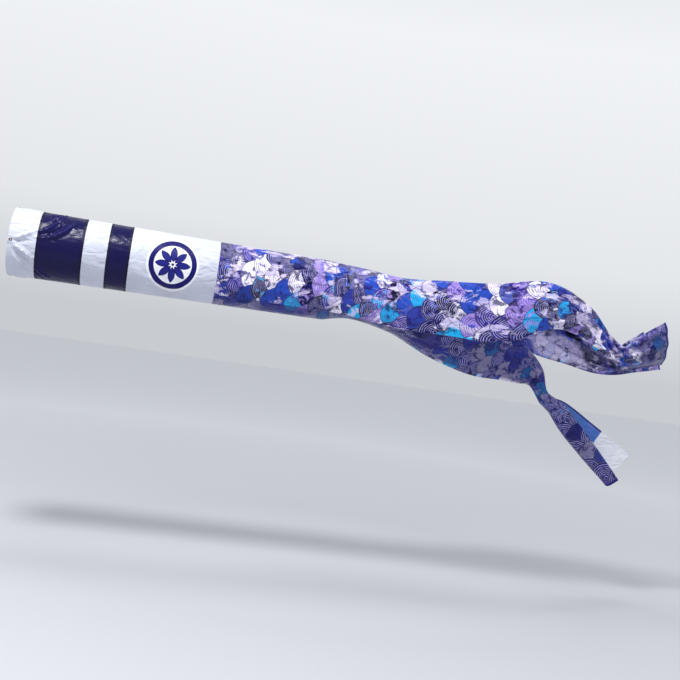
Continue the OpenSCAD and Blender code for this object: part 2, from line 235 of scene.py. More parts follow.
def sweep(tail, us, columns):
    """A tail's cloth as a grid of points: rows along its path, columns from edge to edge."""
    path = PATHS[tail]
    q = spline(path, us)
    travel = unit(spline(path, us + 0.001)[:, :3] - spline(path, us - 0.001)[:, :3])
    square = np.clip(1 - us / ROOT_SHARE, 0, 1)[:, None]
    travel = unit(travel * (1 - square) + square * [1, 0, 0])
    up = unit(np.cross(travel, [0, 1, 0]))
    side = np.cross(up, travel)
    face = np.radians(q[:, 3:4])
    out = side * np.cos(face) + up * np.sin(face)
    wide = up * np.cos(face) - side * np.sin(face)
    fine = 8 * columns
    v = (np.arange(fine) + 0.5) / fine * 2 - 1
    soft = np.maximum(q[:, 7:8], 0.05)
    d = v[None] - q[:, 6:7]
    turn = np.radians(q[:, 5:6]) * 0.5 * d * np.sqrt(1 + soft ** 2) / np.sqrt(d ** 2 + soft ** 2)
    waves, phase, share = PLEATS[tail]
    narrow = np.clip((NECK_W[1] - q[:, 4]) / (NECK_W[1] - NECK_W[0]), 0.1, 1)
    laid = q[:, 4] + (ROOT_W - q[:, 4]) * share * narrow
    swing = gather(q[:, 4] / laid)[:, None] * np.sin(math.pi * waves * v[None] + phase)

    def lay(angle, width):
        step = np.cos(angle)[..., None] * wide[:, None] - np.sin(angle)[..., None] * out[:, None]
        step = step * (width / fine)[:, None, None]
        line = np.concatenate([np.zeros_like(step[:, :1]), np.cumsum(step, 1)], 1)
        return line - line[:, fine // 2][:, None]

    smooth = lay(turn, q[:, 4])
    pleated = lay(turn + swing, laid)
    pleated += (smooth - pleated).mean(1)[:, None]
    return q[:, None, :3] + pleated[:, ::fine // columns]


def ridges(routes, scale, along, aside, wrap):
    """Height of folds pressed into flat cloth, each fading out at both its ends."""
    lift = np.zeros(np.broadcast(along, aside).shape)
    for route, half_w, height in routes:
        points = np.array(route, float) * scale
        share = np.linspace(0, 1, 40)
        knots = np.linspace(0, 1, len(points))
        xs = np.interp(share, knots, points[:, 0])
        ys = np.interp(share, knots, points[:, 1])
        best = np.full(lift.shape, 9.0)
        fade = np.zeros(lift.shape)
        for s, x, y in zip(share, xs, ys):
            gap = np.hypot(along - x, (aside - y + wrap / 2) % wrap - wrap / 2)
            nearer = gap < best
            best = np.where(nearer, gap, best)
            fade = np.where(nearer, math.sin(math.pi * (0.08 + 0.84 * s)), fade)
        k = (best / half_w) ** 2
        lift += height * fade * (1 - 1.2 * k) * np.exp(-k)
    return lift


def crease_lift(x, angle):
    """Height of the creases at points of the tube."""
    scale = [1, CREASE_R * math.pi / 180]
    return ridges(CREASES, scale, x, np.radians(angle) * CREASE_R, 2 * math.pi * CREASE_R)


def fold(tail, us, grid):
    """A tail's grid with its own folds pressed in."""
    across = np.linspace(-1, 1, grid.shape[1]) * ROOT_W / 2
    scale = [TAIL_LENGTH, ROOT_W / 2]
    lift = ridges(FOLDS[tail], scale, us[:, None] * TAIL_LENGTH, across[None], 99.0)
    lift *= np.clip(us[:, None] / 0.05, 0, 1)
    normals = unit(np.cross(np.gradient(grid, axis=1), np.gradient(grid, axis=0)))
    return grid + lift[..., None] * normals


def tube_grid(xs, angles):
    """The tube's cloth: a tapering ring for each x, with its creases."""
    x, a = np.meshgrid(xs, angles, indexing="ij")
    sheltered = np.clip((x - HEM_END * 0.5) / 0.06, 0, 1)
    r = tube_r(x) + crease_lift(x, a % 360) * sheltered
    return round_points(x, r, np.radians(a))


def rows_between(stops):
    """Places along the tube, about a cell apart, with one exactly on each stop."""
    xs = [stops[0]]
    for a, b in zip(stops, stops[1:]):
        n = max(1, round((b - a) / CELL))
        xs += [a + (b - a) * (i + 1) / n for i in range(n)]
    return np.array(xs)


TUBE_X = rows_between([0, HEM_END, NAVY_1, WHITE_2, NAVY_2, PANEL, PRINT, SLIT])
TUBE_A = SLIT_ANGLE + np.arange(3 * COLUMNS) * THIRD / COLUMNS
TAIL_U = np.linspace(0, 1, 1 + round(TAIL_LENGTH / CELL))


def refine(grid, closed):
    """Twice as many rows and columns, on a smooth surface through the points."""
    def halve(g, wrap):
        if wrap:
            before, after, after2 = np.roll(g, 1, 0), np.roll(g, -1, 0), np.roll(g, -2, 0)
            mid = (9 * (g + after) - before - after2) / 16
            return np.stack([g, mid], 1).reshape(-1, *g.shape[1:])
        e = np.concatenate([2 * g[:1] - g[1:2], g, 2 * g[-1:] - g[-2:-1]], 0)
        mid = (9 * (e[1:-2] + e[2:-1]) - e[:-3] - e[3:]) / 16
        out = np.empty((2 * len(g) - 1, *g.shape[1:]))
        out[::2], out[1::2] = g, mid
        return out
    return halve(halve(grid, False).swapaxes(0, 1), closed).swapaxes(0, 1)


class Skin:
    """A sheet of cloth in its flying shape: a grid of points, each with a place along and across."""

    def __init__(self, points, along, across, flat_u, flat_v, closed):
        self.points, self.along, self.across = points, along, across
        self.flat_u, self.flat_v, self.closed = flat_u, flat_v, closed
        ahead = np.gradient(points, axis=0)
        if closed:
            aside = np.roll(points, -1, 1) - np.roll(points, 1, 1)
        else:
            aside = np.gradient(points, axis=1)
        self.normals = unit(np.cross(aside, ahead))

    def at(self, along, across, lift=0.0):
        """Points of the cloth at those places, lifted off its outer face."""
        along, across, lift = np.broadcast_arrays(along, across, lift)
        i = np.interp(along, self.along, np.arange(len(self.along)))
        if self.closed:
            step = self.across[1] - self.across[0]
            j = ((across - self.across[0]) % 360) / step
        else:
            j = np.interp(across, self.across, np.arange(len(self.across)))
        n, m = self.points.shape[:2]
        i0 = np.minimum(i.astype(int), n - 2)
        j0 = j.astype(int) % m if self.closed else np.minimum(j.astype(int), m - 2)
        j1 = (j0 + 1) % m if self.closed else j0 + 1
        f, g = (i - i0)[..., None], (j - j.astype(int) if self.closed else j - j0)[..., None]

        def mix(a):
            return ((a[i0, j0] * (1 - f) + a[i0 + 1, j0] * f) * (1 - g)
                    + (a[i0, j1] * (1 - f) + a[i0 + 1, j1] * f) * g)
        return mix(self.points) + lift[..., None] * unit(mix(self.normals))

    def uv(self, along, across):
        """The same places on the flat cut, in metres."""
        along, across = np.broadcast_arrays(along, across)
        v = np.radians(across) * SLIT_R if self.closed else np.interp(across, self.across, self.flat_v)
        return np.stack([np.interp(along, self.along, self.flat_u), v], -1)


tube_points = tube_grid(TUBE_X, TUBE_A)
tail_points = {t: sweep(t, TAIL_U, COLUMNS) for t in TAILS}
fine_tube = refine(tube_points, True)
fine_x = np.repeat(TUBE_X, 2)[:-1].astype(float)
fine_x[1::2] = (TUBE_X[1:] + TUBE_X[:-1]) / 2
fine_a = SLIT_ANGLE + np.arange(6 * COLUMNS) * THIRD / (2 * COLUMNS)
fine_x_grid, fine_a_grid = np.meshgrid(fine_x, fine_a, indexing="ij")
pressed = crease_lift(fine_x_grid, fine_a_grid) * np.clip((fine_x_grid - HEM_END) / 0.05, 0, 1)
fine_tube += round_points(0 * pressed, CRISP * pressed, np.radians(fine_a_grid))
TUBE = Skin(fine_tube, fine_x, fine_a, fine_x, np.radians(fine_a) * SLIT_R, True)
TAIL = {}
for k, t in enumerate(TAILS):
    grid = refine(tail_points[t], False)
    grid = fold(t, np.linspace(0, 1, grid.shape[0]), grid)
    ring = (2 * k * COLUMNS + np.arange(2 * COLUMNS + 1)) % (6 * COLUMNS)
    grid[0] = fine_tube[-1][ring]
    u = np.linspace(0, 1, grid.shape[0])
    v = np.linspace(-1, 1, grid.shape[1])
    flat_v = np.radians(SLIT_ANGLE + k * THIRD) * SLIT_R + (v + 1) / 2 * ROOT_W
    TAIL[t] = Skin(grid, u, v, SLIT + u * TAIL_LENGTH, flat_v, False)


# ---- sheets, tapes and patches as closed solids ----

def solid(name, outer, inner, uv, wrap, materials):
    """A thin closed solid between two grids of points. Its outer face has the first material."""
    rows, cols = outer.shape[:2]
    n = rows * cols
    ids = np.arange(n).reshape(rows, cols)
    if wrap:
        ids = np.concatenate([ids, ids[:, :1]], 1)
    a, b, c, d = ids[:-1, :-1], ids[:-1, 1:], ids[1:, 1:], ids[1:, :-1]
    face = np.stack([a, b, c, d], -1).reshape(-1, 4)
    back = np.stack([d, c, b, a], -1).reshape(-1, 4) + n
    first, last = ids[0], ids[-1]
    rims = [np.stack([first[1:], first[:-1], first[:-1] + n, first[1:] + n], -1),
            np.stack([last[:-1], last[1:], last[1:] + n, last[:-1] + n], -1)]
    if not wrap:
        left, right = ids[:, 0], ids[:, -1]
        rims += [np.stack([left[:-1], left[1:], left[1:] + n, left[:-1] + n], -1),
                 np.stack([right[1:], right[:-1], right[:-1] + n, right[1:] + n], -1)]
    rim = np.concatenate(rims)
    faces = np.concatenate([face, back, rim])
    points = np.concatenate([outer.reshape(-1, 3), inner.reshape(-1, 3)])
    mesh = new_mesh(name, points.tolist(), faces.tolist())
    flat = np.concatenate([uv.reshape(-1, 2)] * 2)
    corners = faces.ravel()
    places = flat[corners].reshape(-1, 4, 2)
    if wrap:
        wide = places[:, :, 1].max(1) - places[:, :, 1].min(1) > CIRCUMFERENCE / 2
        low = wide[:, None] & (places[:, :, 1] < places[:, :, 1].mean(1)[:, None])
        places[:, :, 1] += np.where(low, CIRCUMFERENCE, 0)
    layer = mesh.uv_layers.new(name="cut")
    layer.data.foreach_set("uv", places.astype(np.float32).ravel())
    for m in materials:
        mesh.materials.append(m)
    side = np.zeros(len(faces), int)
    side[len(face):] = len(materials) - 1
    mesh.polygons.foreach_set("material_index", side)
    return show(name, mesh)


def new_mesh(name, points, faces, edges=()):
    mesh = bpy.data.meshes.new(name)
    mesh.from_pydata(points, edges, faces)
    return mesh


def put_in_scene(name, data):
    """A new object in the scene, for a mesh, a lamp or a camera."""
    thing = bpy.data.objects.new(name, data)
    bpy.context.scene.collection.objects.link(thing)
    return thing


def smooth(mesh, sharp):
    """Smooth shading, but for the edges that turn more than that angle."""
    mesh.polygons.foreach_set("use_smooth", [True] * len(mesh.polygons))
    mesh.set_sharp_from_angle(angle=sharp)


def show(name, mesh):
    smooth(mesh, SHARP)
    mesh.update()
    return put_in_scene(name, mesh)


def cloth(name, skin, along, across, thick, materials, lift=0.0, wrap=False):
    """A stretch of the skin as a piece of cloth, its outer face lifted off the skin by "lift"."""
    a, c = np.asarray(along)[:, None], np.asarray(across)[None]
    return solid(name, skin.at(a, c, lift), skin.at(a, c, lift - thick), skin.uv(a, c), wrap, materials)


def stretch(skin, lo, hi):
    """The skin's own places along, from lo to hi, with both ends on the dot."""
    inside = skin.along[(skin.along > lo + 1e-4) & (skin.along < hi - 1e-4)]
    return np.concatenate([[lo], inside, [hi]])


def place(piece, nodes, body):
    """Puts a finished piece in the stead of its nodes, on its body."""
    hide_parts(*nodes)
    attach(piece, body)


def join(name, parts):
    """One piece from several, with their meshes kept as they are."""
    with bpy.context.temp_override(active_object=parts[0], selected_editable_objects=parts):
        bpy.ops.object.join()
    parts[0].name = name
    parts[0].data.name = name
    return parts[0]


def place_on_side(side, dx, dz):
    """Where a point of a round patch lies on the tube, given its offsets seen square from the side."""
    x = CREST_X + dx
    tilt = np.degrees(np.arcsin(np.clip(dz / tube_r(x), -0.98, 0.98)))
    return x, (180 - tilt if side == "near" else tilt)


def side_patch(name, side, dx, dz, lift, thick, wrap, materials):
    """A sewn-on shape, from a grid of offsets seen square from that side of the tube."""
    if side == "near":
        dx, dz = dx[:, ::-1], dz[:, ::-1]
    x, angle = place_on_side(side, dx, dz)
    uv = np.stack([dx, dz], -1)
    return solid(name, TUBE.at(x, angle, lift + thick), TUBE.at(x, angle, lift), uv, wrap, materials)


def round_grid(r0, r1, rings, spokes):
    """Offsets of a round or ring-shaped patch."""
    r = np.linspace(r0, r1, rings)[:, None]
    t = np.linspace(0, 2 * math.pi, spokes, endpoint=False)[None]
    return r * np.sin(t), r * np.cos(t)


def petal_grid(angle, reach_in, reach_out, half_w):
    """Offsets of one slender petal, the lens where two discs cross."""
    half = (reach_out - reach_in) / 2
    r = (half ** 2 + half_w ** 2) / (2 * half_w)
    s = np.linspace(-half, half, 17)[:, None] * 0.999
    w = np.sqrt(r ** 2 - s ** 2) - (r - half_w)
    t = np.linspace(-1, 1, 9)[None]
    out, wide = s + reach_in + half, w * t
    out = np.broadcast_to(out, wide.shape)
    c, d = math.cos(angle), math.sin(angle)
    return out * c - wide * d, out * d + wide * c


def cut_holes(piece, radius):
    """Opens the four eyelet holes in a piece at the mouth."""
    n = 24
    ring = [(math.cos(t) * radius, math.sin(t) * radius)
            for t in np.linspace(0, 2 * math.pi, n, endpoint=False)]
    walls = [(i, (i + 1) % n, n + (i + 1) % n, n + i) for i in range(n)]
    caps = [tuple(range(n - 1, -1, -1)), tuple(range(n, 2 * n))]
    centre = Vector((EYELET_X, 0, 0))
    for a in np.radians((0, 90, 180, 270)):
        out = Vector((0, math.cos(a), math.sin(a)))
        turn = Vector((0, 0, 1)).rotation_difference(out).to_matrix()
        ends = [[centre + turn @ Vector((x, y, MOUTH_R + h)) for x, y in ring] for h in (-0.02, 0.02)]
        mesh = new_mesh("punch", ends[0] + ends[1], walls + caps)
        punch = put_in_scene("punch", mesh)
        cut = piece.modifiers.new("hole", "BOOLEAN")
        cut.object = punch
        cut.operation = "DIFFERENCE"
        cut.solver = "EXACT"
        bake(piece)
        bpy.data.objects.remove(punch)
        bpy.data.meshes.remove(mesh)
    piece.data.set_sharp_from_angle(angle=SHARP)


def bake(piece):
    """Turns what the modifiers make into the piece's own mesh, and takes them off."""
    deps = bpy.context.evaluated_depsgraph_get()
    mesh = bpy.data.meshes.new_from_object(piece.evaluated_get(deps), preserve_all_data_layers=True,
                                           depsgraph=deps)
    old = piece.data
    piece.modifiers.clear()
    piece.data = mesh
    bpy.data.meshes.remove(old)
    mesh.name = piece.name


# ---- finishes ----

class Nodes:
    """Short calls for making a node tree."""

    def __init__(self, tree):
        self.tree = tree

    def node(self, kind, inputs=(), **settings):
        """A new node with its settings, and with values or links put in its inputs."""
        n = self.tree.nodes.new(kind)
        for key, value in settings.items():
            setattr(n, key, value)
        for key, value in dict(inputs).items():
            self.put(n.inputs[key], value)
        return n

    def put(self, socket, value):
        if isinstance(value, bpy.types.NodeSocket):
            self.tree.links.new(value, socket)
        else:
            socket.default_value = value

    def math(self, operation, a, b=0.0):
        return self.node("ShaderNodeMath", {0: a, 1: b}, operation=operation).outputs[0]

    def plus(self, a, b):
        return self.math("ADD", a, b)

    def times(self, a, b):
        return self.math("MULTIPLY", a, b)

    def wave(self, value, rate):
        return self.math("SINE", self.times(value, rate))

    def mix(self, share, a, b):
        return self.node("ShaderNodeMix", {0: share, 6: a, 7: b}, data_type="RGBA").outputs[2]

    def mix_number(self, share, a, b):
        return self.node("ShaderNodeMix", {0: share, 2: a, 3: b}, data_type="FLOAT").outputs[0]

    def span(self, value, lo, hi, out_lo=0.0, out_hi=1.0):
        values = {0: value, 1: lo, 2: hi, 3: out_lo, 4: out_hi}
        return self.node("ShaderNodeMapRange", values).outputs[0]

    def ramp(self, value, stops, constant=False):
        n = self.node("ShaderNodeValToRGB", {0: value})
        n.color_ramp.interpolation = "CONSTANT" if constant else "LINEAR"
        while len(n.color_ramp.elements) < len(stops):
            n.color_ramp.elements.new(0.5)
        for e, (at, colour) in zip(n.color_ramp.elements, stops):
            e.position = at
            e.color = colour
        return n.outputs[0]

    def cut(self):
        return self.node("ShaderNodeUVMap", uv_map="cut").outputs[0]

    def body(self):
        return self.node("ShaderNodeTexCoord").outputs["Object"]

    def scaled(self, vector, scale):
        return self.node("ShaderNodeMapping", {0: vector, "Scale": scale}).outputs[0]

    def apart(self, vector):
        """The three numbers of a vector."""
        return self.node("ShaderNodeSeparateXYZ", {0: vector}).outputs

    def bent(self, vector, swirl, amount):
        """A vector pushed about by a colour of noise."""
        values = {0: swirl, 1: amount, 2: vector}
        return self.node("ShaderNodeVectorMath", values, operation="MULTIPLY_ADD").outputs[0]

    def away(self, vector, point):
        """Distance from a point."""
        n = self.node("ShaderNodeVectorMath", {0: vector, 1: point}, operation="DISTANCE")
        return n.outputs["Value"]

    def noise(self, vector, scale, detail=3.0, rough=0.5, distortion=0.0, out="Fac"):
        values = {"Vector": vector, "Scale": scale, "Detail": detail, "Roughness": rough,
                  "Distortion": distortion}
        return self.node("ShaderNodeTexNoise", values).outputs[out]

    def bump(self, height, distance, before=None):
        values = {"Strength": 1.0, "Distance": distance, "Height": height}
        if before is not None:
            values["Normal"] = before
        return self.node("ShaderNodeBump", values).outputs[0]


class Finish(Nodes):
    """A material in the making."""

    def __init__(self, name):
        self.material = bpy.data.materials.new(name)
        self.material.use_nodes = True
        super().__init__(self.material.node_tree)
        self.tree.nodes.clear()
        self.shader = self.node("ShaderNodeBsdfPrincipled")
        self.node("ShaderNodeOutputMaterial", {0: self.shader.outputs[0]})


def rgb(r, g, b):
    """A colour from 0 to 255 as it looks, turned into the linear one that shaders take."""
    def linear(v):
        v /= 255
        return v / 12.92 if v <= 0.04045 else ((v + 0.055) / 1.055) ** 2.4
    return linear(r), linear(g), linear(b), 1.0


def weave(f, pitch, depth, before=None):
    """The threads of a plain weave, raised over the cut's own two directions."""
    u, v = f.apart(f.cut())[:2]
    rate = 2 * math.pi / pitch
    return f.bump(f.times(f.wave(u, rate), f.wave(v, rate)), depth, before)


def crumple(f, big, small):
    """Soft folds and small wrinkles of thin cloth that has been packed and flown."""
    at = f.scaled(f.body(), (0.8, 1.5, 1.5))
    folds = f.noise(at, 5.5, 2.0, 0.45, 0.6)
    normal = f.bump(folds, big)
    swirl = f.noise(at, 3.0, 2.0, out="Color")
    creases = f.node("ShaderNodeTexVoronoi", {"Vector": f.bent(at, swirl, (0.35, 0.35, 0.35)), "Scale": 4.5},
                     feature="DISTANCE_TO_EDGE")
    ridge = f.span(creases.outputs["Distance"], 0.0, 0.12)
    normal = f.bump(ridge, small, normal)
    return f.bump(f.noise(f.body(), 60.0, 2.0), 0.0006, normal)


THREADS = 0.0009                # from thread to thread of the satin's weave
RIB = 0.0018                    # from rib to rib of the webbing


def satin(name, colour, rough, sheen, big, small, shift=0.06):
    """Smooth filament cloth: a soft gloss, faint cloudiness, weave and creases."""
    f = Finish(name)
    cloudy = f.noise(f.body(), 2.2, 4.0, 0.55)
    light = tuple(min(1.0, c * (1 + shift)) for c in colour[:3]) + (1,)
    dark = tuple(c * (1 - 2 * shift) for c in colour[:3]) + (1,)
    f.put(f.shader.inputs["Base Color"], f.ramp(cloudy, [(0.3, dark), (0.7, light)]))
    f.put(f.shader.inputs["Roughness"], f.span(f.noise(f.body(), 9.0), 0.3, 0.7, rough - 0.06, rough + 0.08))
    f.shader.inputs["Sheen Weight"].default_value = sheen
    f.shader.inputs["Sheen Roughness"].default_value = 0.35
    f.shader.inputs["Specular IOR Level"].default_value = 0.22
    f.put(f.shader.inputs["Normal"], weave(f, THREADS, 0.00004, crumple(f, big, small)))
    return f


PITCH_U = 0.13                  # from one row of painted scales to the next, along the tube
SCALES_ROUND = 8                # painted scales round the tube
CIRCUMFERENCE = 2 * math.pi * SLIT_R
PITCH_V = CIRCUMFERENCE / SCALES_ROUND
SCALE_R = 0.168
LOW_SHADE_CUT = (-0.79, -0.09)        # the part round the tube that becomes the low tail, darkened towards navy as painted shade
END_SHADE_CUT = (7.40, 0.61)         # from here on along and round the cut, the near tail's end is darkened too, as painted shade
EDGE = 0.05                     # how softly these washes end
GLARE_CUT = (6.05, 0.74, 0.0)    # middle of a pale wash on the far tail, a painted highlight where its glossy folds catch the light
PALETTE = [(0.00, rgb(4, 4, 44)), (0.17, rgb(10, 10, 86)), (0.36, rgb(48, 34, 136)),
           (0.46, rgb(34, 60, 156)), (0.55, rgb(160, 138, 216)), (0.64, rgb(242, 236, 254)),
           (0.76, rgb(24, 78, 188)), (0.84, rgb(24, 172, 236)), (0.93, rgb(86, 100, 184))]


def scale_print(name, wash=0.0, tint=(1, 1, 1, 1), **look):
    """Satin printed with rows of overlapping painted scales, each in its own watercolour, with painted shade
    on its low part and on the near tail's end, and a painted highlight on the far tail.
    """
    f = satin(name, rgb(120, 110, 190), **look)
    moved = f.bent(f.cut(), f.noise(f.cut(), 6.0, out="Color"), (0.045, 0.045, 0.0))
    u, v = f.apart(moved)[:2]
    row = f.math("FLOOR", f.math("DIVIDE", u, PITCH_U))
    reach, own_row, own_col = 1.0, 0.0, 0.0
    for up in (0, 1, 2):
        k = f.plus(row, up)
        half = f.times(f.math("MODULO", f.plus(k, 1000.0), 2.0), 0.5)
        col = f.math("FLOOR", f.math("SUBTRACT", f.math("DIVIDE", v, PITCH_V), half))
        for over in (0, 1):
            j = f.plus(col, over)
            du = f.math("SUBTRACT", u, f.times(k, PITCH_U))
            dv = f.math("SUBTRACT", v, f.times(f.plus(j, half), PITCH_V))
            d = f.math("DIVIDE", f.math("SQRT", f.plus(f.times(du, du), f.times(dv, dv))), SCALE_R)
            inside = f.math("LESS_THAN", d, 1.0)
            reach = f.mix_number(inside, reach, d)
            own_row = f.mix_number(inside, own_row, k)
            own_col = f.mix_number(inside, own_col, f.math("MODULO", f.plus(j, 80.0), SCALES_ROUND))
    own = f.node("ShaderNodeCombineXYZ", {0: own_row, 1: own_col}).outputs[0]
    dice = f.node("ShaderNodeTexWhiteNoise", {"Vector": own}, noise_dimensions="3D").outputs["Color"]
    first, second, third = f.node("ShaderNodeSeparateColor", {0: dice}).outputs
    # Painted shade: the low part of the cut, the lower side of the printed sleeve and all of the low tail,
    # is darkened towards navy.
    low = f.times(f.span(v, LOW_SHADE_CUT[0], LOW_SHADE_CUT[0] + EDGE), f.span(v, LOW_SHADE_CUT[1], LOW_SHADE_CUT[1] - EDGE))
    # Painted highlight: a pale wash over the print where the far tail's glossy folds catch the light.
    from_glare = f.away(f.scaled(moved, (1.0, 1.8, 1.0)), GLARE_CUT)
    painted_glare = f.span(f.plus(from_glare, f.times(f.noise(f.cut(), 6.0), 0.3)), 0.62, 0.50)
    base = f.ramp(first, PALETTE, constant=True)
    other = f.ramp(second, PALETTE, constant=True)
    stain = f.noise(f.cut(), 11.0, 5.0, 0.62, 0.7)
    painted = f.mix(f.times(f.span(stain, 0.52, 0.58), 0.85), base, other)
    splash = f.span(f.noise(f.scaled(f.cut(), (1.0, 1.6, 1.0)), 3.4, 5.0, 0.6, 0.5), 0.55, 0.59)
    # Fewer pale splashes on the low part, as part of its painted shade, and the painted highlight added to
    # them.
    splash = f.math("MAXIMUM", f.times(splash, f.span(low, 0.0, 1.0, 0.75, 0.15)), f.times(painted_glare, 0.85))
    painted = f.mix(splash, painted, rgb(228, 216, 250))
    shadow = f.span(f.noise(f.cut(), 5.0, 4.0, 0.55, 0.4), 0.58, 0.63)
    painted = f.mix(f.times(shadow, 0.85), painted, rgb(14, 10, 88))
    # Painted shade: the near tail's end, like the low part, is mixed towards dark navy.
    end = f.times(f.span(u, END_SHADE_CUT[0], END_SHADE_CUT[0] + 2 * EDGE), f.span(v, END_SHADE_CUT[1], END_SHADE_CUT[1] + EDGE))
    painted_shade = f.math("MAXIMUM", f.times(low, 0.74), f.times(end, 0.78))
    painted = f.mix(painted_shade, painted, rgb(8, 18, 100))
    brushed = f.plus(reach, f.times(f.noise(f.cut(), 26.0, 4.0, 0.6), 0.10))
    stroke = f.span(f.wave(brushed, 50.0), 0.3, 0.8)
    patchy = f.span(f.noise(f.cut(), 15.0, 3.0), 0.36, 0.50)
    drawn = f.times(f.math("GREATER_THAN", third, 0.15), f.times(stroke, patchy))
    is_dark = f.math("LESS_THAN", first, 0.48)
    ink = f.mix(is_dark, rgb(70, 44, 150), rgb(186, 180, 240))
    painted = f.mix(f.times(drawn, 0.8), painted, ink)
    line = f.span(reach, 0.94, 0.985)
    painted = f.mix(f.times(line, 0.8), painted, rgb(12, 10, 62))
    painted = f.mix(wash, painted, tint)
    f.put(f.shader.inputs["Base Color"], painted)
    return f


def metal(name, colour, rough):
    f = Finish(name)
    worn = f.noise(f.body(), 240.0, 4.0)
    dull = tuple(c * 0.7 for c in colour[:3]) + (1,)
    f.put(f.shader.inputs["Base Color"], f.ramp(worn, [(0.3, dull), (0.7, colour)]))
    f.put(f.shader.inputs["Roughness"], f.span(worn, 0.3, 0.7, rough, rough + 0.15))
    f.shader.inputs["Metallic"].default_value = 1.0
    f.put(f.shader.inputs["Normal"], f.bump(worn, 0.00005))
    return f.material


def webbing(name, colour):
    """Tight ribbed webbing, with its ribs across the tape."""
    f = satin(name, colour, rough=0.6, sheen=0.4, big=0.001, small=0.0002)
    ribs = f.wave(f.apart(f.cut())[0], 2 * math.pi / RIB)
    f.put(f.shader.inputs["Normal"], f.bump(ribs, 0.00025, weave(f, 0.0012, 0.00012)))
    return f.material


# Plain satins: colour, roughness, sheen, height of folds and of wrinkles, and cloudiness.
LOOKS = {
    "white_satin": ((204, 208, 224), 0.40, 0.1, 0.022, 0.004),
    "crest_patch_satin": ((240, 242, 250), 0.4, 0.15, 0.012, 0.002),
    "navy_satin": ((7, 4, 66), 0.28, 0.04, 0.014, 0.0012),
    "navy_tape": ((4, 2, 46), 0.45, 0.05, 0.012, 0.003),
    "crest_navy": ((10, 6, 98), 0.4, 0.05, 0.010, 0.002),
    "crest_blue": ((30, 34, 134), 0.4, 0.05, 0.010, 0.002, 0.2),
    "pale_tape": ((214, 214, 240), 0.45, 0.35, 0.006, 0.001),
    "white_reverse": ((206, 208, 226), 0.6, 0.2, 0.008, 0.002),
    "navy_reverse": ((40, 38, 116), 0.6, 0.2, 0.008, 0.002),
    "hem_satin": ((34, 36, 130), 0.4, 0.1, 0.01, 0.002, 0.25),
    "white_facing": ((236, 238, 246), 0.5, 0.15, 0.02, 0.004),
    "white_thread": ((236, 236, 240), 0.6, 0.35, 0.0002, 0.0001),
    "navy_thread": ((28, 26, 92), 0.6, 0.35, 0.0002, 0.0001)}
SATIN = {name: satin(name, rgb(*colour), *look).material for name, (colour, *look) in LOOKS.items()}
printed = scale_print("printed_satin", rough=0.28, sheen=0.05, big=0.030, small=0.006).material
reverse = scale_print("blue_reverse", wash=0.86, tint=rgb(70, 116, 196), rough=0.5, sheen=0.3,
                      big=0.012, small=0.003).material
belt = webbing("navy_webbing", rgb(12, 12, 46))
brass = metal("brass", (0.76, 0.55, 0.26, 1), 0.22)
steel = metal("spring_steel", (0.55, 0.56, 0.58, 1), 0.28)

for node in ["hoop_rod", "hoop_ferrule", "eyelet_washers"] + ["eyelet_" + side for side, angle in SIDES]:
    for material_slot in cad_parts[node].material_slots:
        material_slot.material = steel if node.startswith("hoop") else brass


# ---- mouth ----

HEM_HOLE = 0.0068               # radius of the holes for the eyelets, in the hem and in the tabs
TAB_HOLE = 0.0066
TAB_X = (0.0135, 0.0475)        # where a tie tab begins and ends along the tube
TAB_HALF_W = 0.0139
TAB_SEAM = (0.016, 0.0455, 0.0115)  # its line of stitches: from, to and half-width
TAB_OUT = 0.0019                # how far a tab's outer face stands off the band's cloth
TAB_THICK = 0.0014


def mouth_hem():
    """The cloth turned back over the hoop's wire: one closed profile, swept round the mouth."""
    rod_x, rod_r, roll = 0.0055, MOUTH_R - 0.005, 0.0049
    outer = [(x, MOUTH_R - 0.0001) for x in np.linspace(HEM_END, 0.010, 9)]
    front = [(rod_x - roll * math.sin(t), rod_r + roll * math.cos(t)) for t in np.linspace(0, math.pi, 13)]
    inner = [(0.0125, MOUTH_R - 0.0072), (0.017, MOUTH_R - 0.0037)]
    inner += [(x, MOUTH_R - 0.0029) for x in np.linspace(0.022, HEM_END, 7)]
    profile = np.array(outer + front + inner)
    spokes = np.radians(np.arange(0, 360, 1.5))
    pucker = 0.0005 * np.sin(spokes * 61) * np.sin(spokes * 17 + 1)
    share = np.clip((profile[:, 0] - 0.012) / 0.02, 0, 1)
    r = profile[:, 1:2] + pucker[None] * share[:, None] * (profile[:, 1:2] > MOUTH_R - 0.002)
    x = np.repeat(profile[:, :1], len(spokes), 1)
    points = round_points(x, r, spokes)
    rows, cols = points.shape[:2]
    ids = np.arange(rows * cols).reshape(rows, cols)
    a, b = ids, np.roll(ids, -1, 1)
    down = np.roll(ids, -1, 0)
    faces = np.stack([a, down, np.roll(down, -1, 1), b], -1).reshape(-1, 4)
    mesh = new_mesh("mouth_hem_cloth", points.reshape(-1, 3).tolist(), faces.tolist())
    along = np.concatenate([[0], np.cumsum(np.linalg.norm(np.diff(profile, axis=0), axis=1))])
    flat = np.stack([np.repeat(along[:, None], cols, 1),
                     np.repeat((spokes * SLIT_R)[None], rows, 0)], -1).reshape(-1, 2)
    mesh.uv_layers.new(name="cut").data.foreach_set("uv", flat[faces.ravel()].astype(np.float32).ravel())
    mesh.materials.append(SATIN["white_satin"])
    piece = show("mouth_hem_cloth", mesh)
    cut_holes(piece, HEM_HOLE)
    return piece


hem = mouth_hem()
place(hem, ["mouth_hem"], "mouth")

